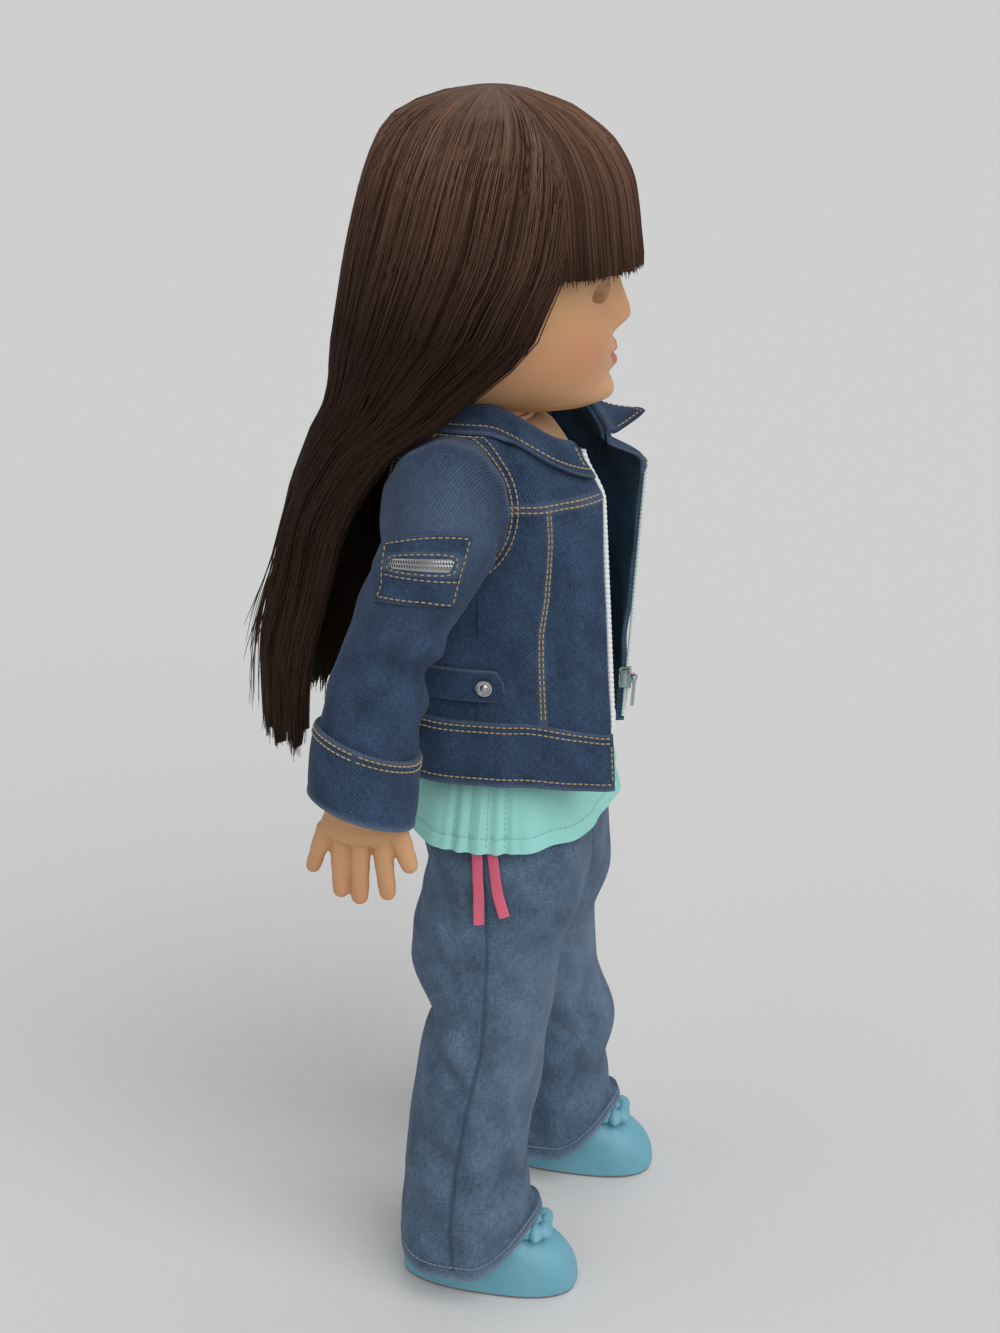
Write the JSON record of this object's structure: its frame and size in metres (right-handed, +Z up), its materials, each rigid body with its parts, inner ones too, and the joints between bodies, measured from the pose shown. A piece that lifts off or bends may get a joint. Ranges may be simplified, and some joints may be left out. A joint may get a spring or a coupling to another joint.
{
  "type": "play doll",
  "caption": "Standing vinyl and cloth play doll with a long wig and sleep eyes, in a zipped denim jacket, tee, flared jeans and flat shoes; head, arms and legs turn.",
  "frame": {"origin": "middle of the doll's footprint box on the floor, under the soles", "axes": "+Z up from the soles to the crown, -Y the way the chest faces, -X the doll's right side"},
  "size_m": [0.2052, 0.1516, 0.457],
  "materials": {
    "vinyl": "soft matt moulded vinyl",
    "hair": "straight glossy synthetic fibre",
    "wig_net": "woven net",
    "eye": "gloss",
    "weight": "dull cast metal",
    "cup": "moulded",
    "body_cloth": "plain cotton over stuffing",
    "cord": "braid-covered elastic",
    "disc": "moulded",
    "denim": "dark indigo twill with gold stitching",
    "jeans": "washed mid-blue twill",
    "tee": "fine cotton jersey",
    "tie": "satin ribbon",
    "zipper": "moulded white teeth on tape",
    "silver": "polished plated metal",
    "shoe": "soft gathered upper",
    "sole": "thin moulded sole"
  },
  "bodies": {
    "torso": {"torso_body": "body_cloth", "neck_cord": "cord", "arm_elastic": "cord", "leg_elastic": "cord", "right_shoulder_disc": "disc", "left_shoulder_disc": "disc", "right_hip_disc": "disc", "left_hip_disc": "disc", "tee_body": "tee", "tee_hem": "tee", "tie_tail_front": "tie", "tie_tail_rear": "tie", "jeans_seat": "jeans", "jacket_back": "denim", "jacket_band": "denim", "jacket_collar": "denim", "jacket_right_front": "denim", "jacket_left_front": "denim", "right_zipper_chain": "zipper", "left_zipper_chain": "zipper", "right_waist_tab": "denim", "left_waist_tab": "denim", "right_tab_snap": "silver", "left_tab_snap": "silver", "hair_fall": "hair"},
    "head": {"head_shell": "vinyl", "wig_cap": "wig_net", "hair_crown": "hair", "hair_fringe": "hair", "right_eye_cup": "cup", "left_eye_cup": "cup"},
    "right_eye": {"right_eyeball": "eye", "right_eye_weight": "weight"},
    "left_eye": {"left_eyeball": "eye", "left_eye_weight": "weight"},
    "right_arm_body": {"right_arm": "vinyl", "right_arm_washer": "disc", "right_sleeve": "denim", "right_cuff": "denim", "sleeve_pocket": "denim", "pocket_zipper": "silver"},
    "left_arm_body": {"left_arm": "vinyl", "left_arm_washer": "disc", "left_sleeve": "denim", "left_cuff": "denim"},
    "right_leg_body": {"right_leg": "vinyl", "right_leg_washer": "disc", "right_jeans_leg": "jeans", "right_shoe_upper": "shoe", "right_shoe_sole": "sole", "right_shoe_bow": "shoe"},
    "left_leg_body": {"left_leg": "vinyl", "left_leg_washer": "disc", "left_jeans_leg": "jeans", "left_shoe_upper": "shoe", "left_shoe_sole": "sole", "left_shoe_bow": "shoe"},
    "slider": {"zipper_slider": "silver"},
    "pull": {"zipper_pull": "silver"}
  },
  "joints": [
    {"name": "head_turn", "type": "hinge", "parent": "torso", "child": "head", "pos_m": [0, -0.01363, 0.341], "axis": [0, 0, 1], "range_deg": [-45, 25]},
    {"name": "right_eye_rock", "type": "hinge", "parent": "head", "child": "right_eye", "pos_m": [-0.01295, -0.04085, 0.388], "axis": [0.9848, 0.1736, 0], "range_deg": [0, 60]},
    {"name": "left_eye_rock", "type": "hinge", "parent": "head", "child": "left_eye", "pos_m": [0.02145, -0.03475, 0.388], "axis": [0.9848, 0.1736, 0], "range_deg": [0, 60]},
    {"name": "right_arm_swing", "type": "hinge", "parent": "torso", "child": "right_arm_body", "pos_m": [-0.05, -0.00963, 0.32], "axis": [-1, 0, 0], "range_deg": [-30, 150]},
    {"name": "left_arm_swing", "type": "hinge", "parent": "torso", "child": "left_arm_body", "pos_m": [0.05, -0.00963, 0.32], "axis": [-1, 0, 0], "range_deg": [-30, 150]},
    {"name": "right_leg_swing", "type": "hinge", "parent": "torso", "child": "right_leg_body", "pos_m": [-0.0305, -0.01963, 0.185], "axis": [-1, 0, 0], "range_deg": [-20, 80], "deforming": ["tee_hem"]},
    {"name": "left_leg_swing", "type": "hinge", "parent": "torso", "child": "left_leg_body", "pos_m": [0.0305, -0.01963, 0.185], "axis": [-1, 0, 0], "range_deg": [-20, 80], "deforming": ["tee_hem"]},
    {"name": "zipper_slide", "type": "slide", "parent": "torso", "child": "slider", "axis": [0, -0.0634, 0.998], "range_m": [-0.011, 0.07]},
    {"name": "pull_swing", "type": "hinge", "parent": "slider", "child": "pull", "pos_m": [0.0147, -0.0656, 0.2372], "axis": [-1, 0, 0], "range_deg": [0, 150]}
  ],
  "couplings": [
    {"joint": "left_eye_rock", "follows": "right_eye_rock", "ratio": 1}
  ]
}
